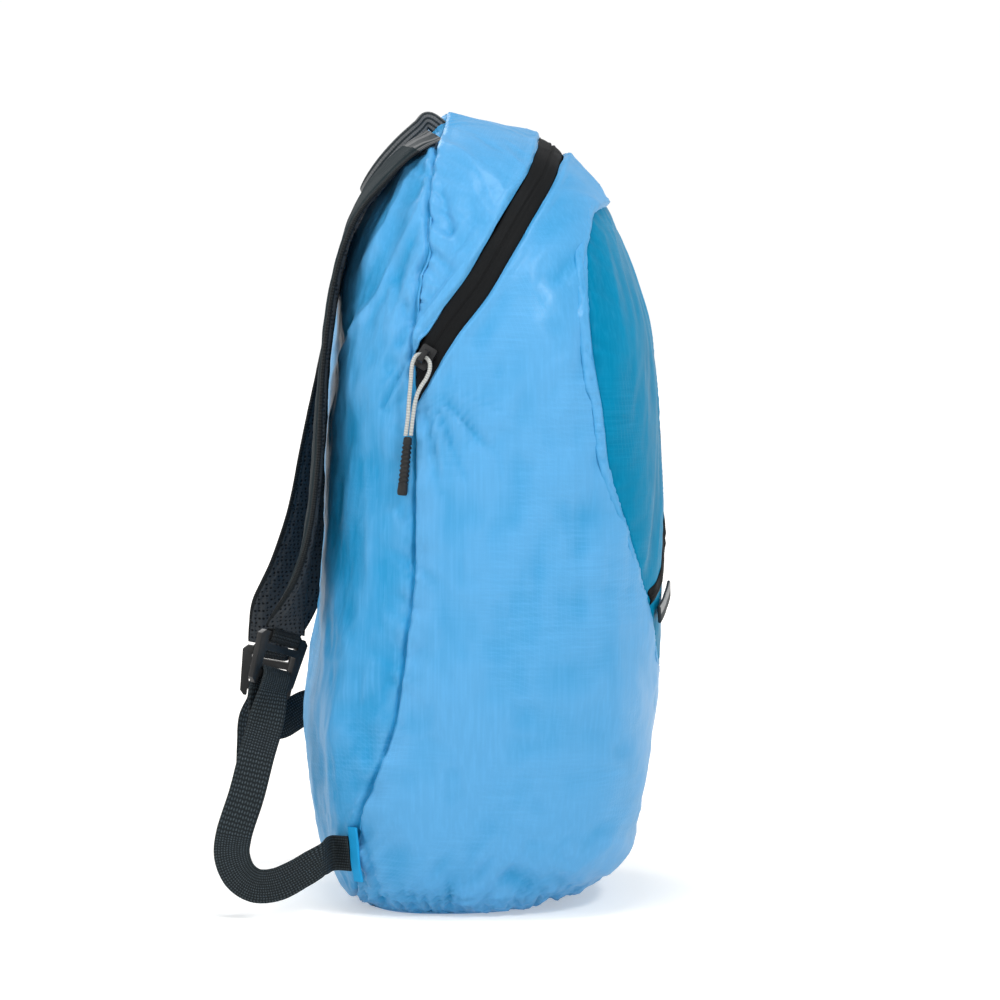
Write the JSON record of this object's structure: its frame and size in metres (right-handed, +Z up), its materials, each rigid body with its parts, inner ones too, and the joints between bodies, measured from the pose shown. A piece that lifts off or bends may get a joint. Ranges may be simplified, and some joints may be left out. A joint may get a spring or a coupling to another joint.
{
  "type": "packable backpack",
  "caption": "Stuffed packable daypack in thin cloth with an arched main zip, a shield-shaped front pocket, padded shoulder straps, webbing adjusters and a haul loop.",
  "frame": {"origin": "on the floor under the middle of the bag, on the flat of its base", "axes": "+Z up, +Y towards the wearer's back and the straps, -Y towards the front pocket, -X towards the wearer's left"},
  "size_m": [0.2838, 0.2539, 0.447],
  "materials": {
    "body_cloth": "thin coated ripstop, light sheen",
    "pocket_cloth": "thin coated ripstop, deeper blue",
    "zip_tape": "coated tape, satin",
    "black_plastic": "moulded, satin",
    "cord": "braided",
    "strap_cloth": "padded, cloth edge and spacer mesh",
    "webbing": "woven, waffle texture",
    "haul_webbing": "woven, light stripe",
    "reflective": "grey reflective weave",
    "tab_cloth": "bound seam tab"
  },
  "bodies": {
    "root": {"main_body": "body_cloth", "top_panel": "body_cloth", "back_panel": "body_cloth", "front_pocket": "pocket_cloth", "main_zip": "zip_tape", "main_zip_slider": "black_plastic", "pull_cord": "cord", "pull_grip": "black_plastic", "front_zip": "zip_tape", "reflective_tab": "reflective", "haul_loop": "haul_webbing", "shoulder_strap_left": "strap_cloth", "shoulder_strap_right": "strap_cloth", "strap_fold_left": "strap_cloth", "strap_fold_right": "strap_cloth", "ladder_lock_left": "black_plastic", "ladder_lock_right": "black_plastic", "lower_webbing_left": "webbing", "lower_webbing_right": "webbing", "corner_tab_left": "tab_cloth", "corner_tab_right": "tab_cloth"}
  },
  "joints": []
}
